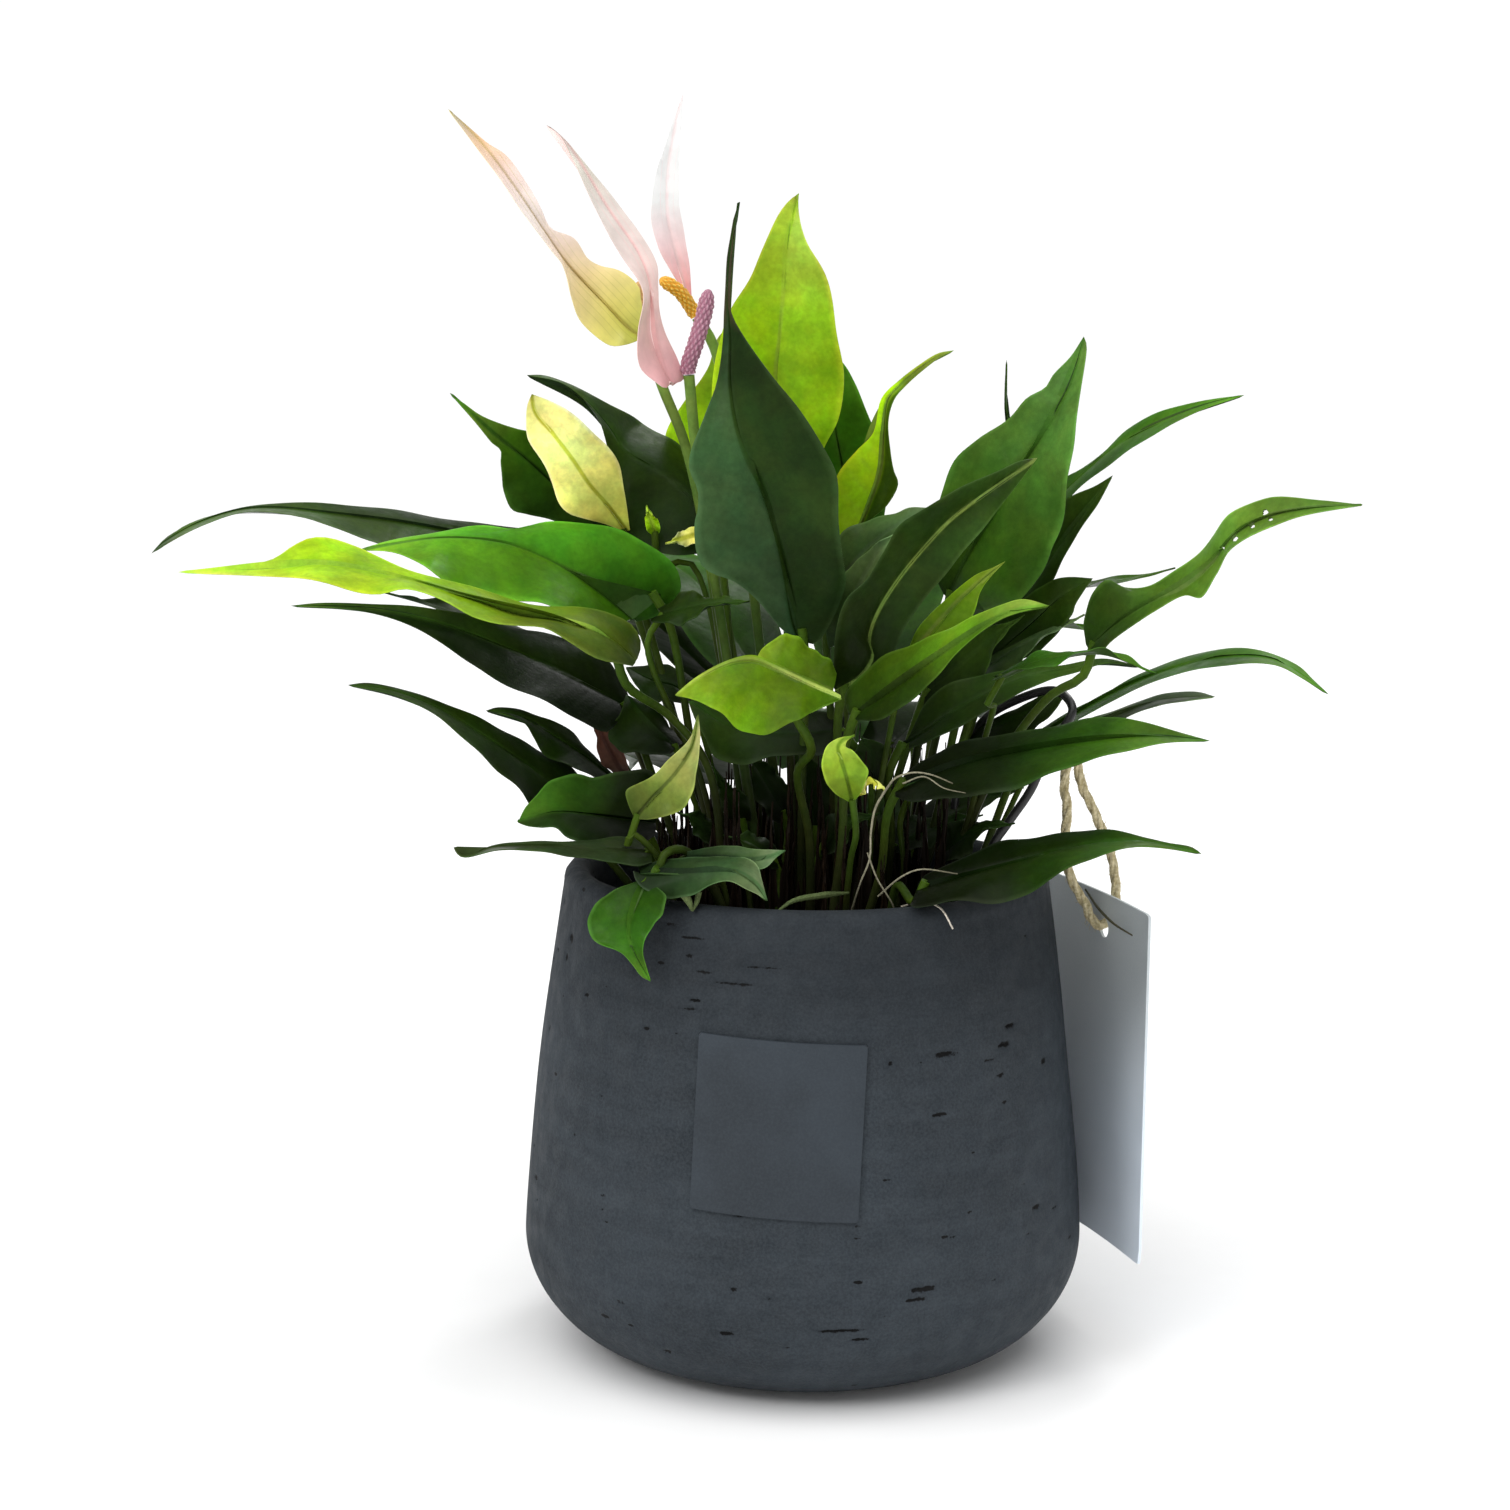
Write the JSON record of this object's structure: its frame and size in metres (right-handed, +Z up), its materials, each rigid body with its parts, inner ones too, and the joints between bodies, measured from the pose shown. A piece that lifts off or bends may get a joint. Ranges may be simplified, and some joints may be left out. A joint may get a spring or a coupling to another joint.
{
  "type": "potted lily anthurium",
  "caption": "Lily anthurium with glossy arching leaves and slim pink and cream blooms in a round pitted dark planter, with a tie-on tag.",
  "frame": {"origin": "centre of the pot's flat base, on the surface that it stands on", "axes": "+Z up; -Y is the front, with the label on the pot; +X is the side where the tag hangs"},
  "size_m": [0.2901, 0.1901, 0.3112],
  "materials": {
    "leaf_dark": "satin",
    "leaf_mid": "satin",
    "leaf_bright": "satin",
    "leaf_lime": "satin",
    "leaf_cream": "satin",
    "leaf_grey": "satin",
    "flower_stalk": "satin",
    "spathe_cream": "satin",
    "spathe_pink": "satin",
    "spathe_white": "satin",
    "spadix_straw": "matte",
    "spadix_purple": "matte",
    "spadix_orange": "matte",
    "fibre_cement": "matte",
    "grow_pot_plastic": "satin",
    "potting_mix": "matte",
    "sticker_film": "satin",
    "coated_wire": "satin",
    "jute": "matte",
    "tag_card": "matte"
  },
  "bodies": {
    "root": {"leaf_left_1": "leaf_dark", "leaf_left_2": "leaf_mid", "leaf_left_3": "leaf_lime", "leaf_left_4": "leaf_dark", "leaf_left_5": "leaf_dark", "leaf_left_6": "leaf_dark", "leaf_left_7": "leaf_mid", "leaf_left_8": "leaf_mid", "leaf_front_1": "leaf_grey", "leaf_upper_1": "leaf_dark", "leaf_upper_2": "leaf_cream", "leaf_upper_3": "leaf_dark", "leaf_upper_4": "leaf_lime", "leaf_middle_1": "leaf_dark", "leaf_middle_2": "leaf_lime", "leaf_middle_3": "leaf_dark", "leaf_middle_4": "leaf_bright", "leaf_middle_5": "leaf_bright", "leaf_middle_6": "leaf_lime", "leaf_middle_7": "leaf_grey", "leaf_right_1": "leaf_dark", "leaf_right_2": "leaf_dark", "leaf_right_3": "leaf_dark", "leaf_right_4": "leaf_mid", "leaf_right_5": "leaf_mid", "leaf_right_6": "leaf_mid", "leaf_right_7": "leaf_mid", "leaf_right_8": "leaf_mid", "leaf_right_9": "leaf_bright", "leaf_right_10": "leaf_dark", "leaf_right_11": "leaf_bright", "leaf_right_12": "leaf_dark", "leaf_right_13": "leaf_dark", "leaf_right_14": "leaf_dark", "leaf_back_1": "leaf_mid", "leaf_back_2": "leaf_mid", "leaf_back_3": "leaf_dark", "leaf_back_4": "leaf_mid", "leaf_back_5": "leaf_dark", "flower_stalk_1": "flower_stalk", "flower_stalk_2": "flower_stalk", "flower_stalk_3": "flower_stalk", "spathe_1": "spathe_cream", "spathe_2": "spathe_pink", "spathe_3": "spathe_white", "spadix_1": "spadix_straw", "spadix_2": "spadix_purple", "spadix_3": "spadix_orange", "pot": "fibre_cement", "grow_pot": "grow_pot_plastic", "potting_soil": "potting_mix", "pot_sticker": "sticker_film", "wire_hoop": "coated_wire", "tag_twine": "jute", "swing_tag": "tag_card"}
  },
  "joints": []
}
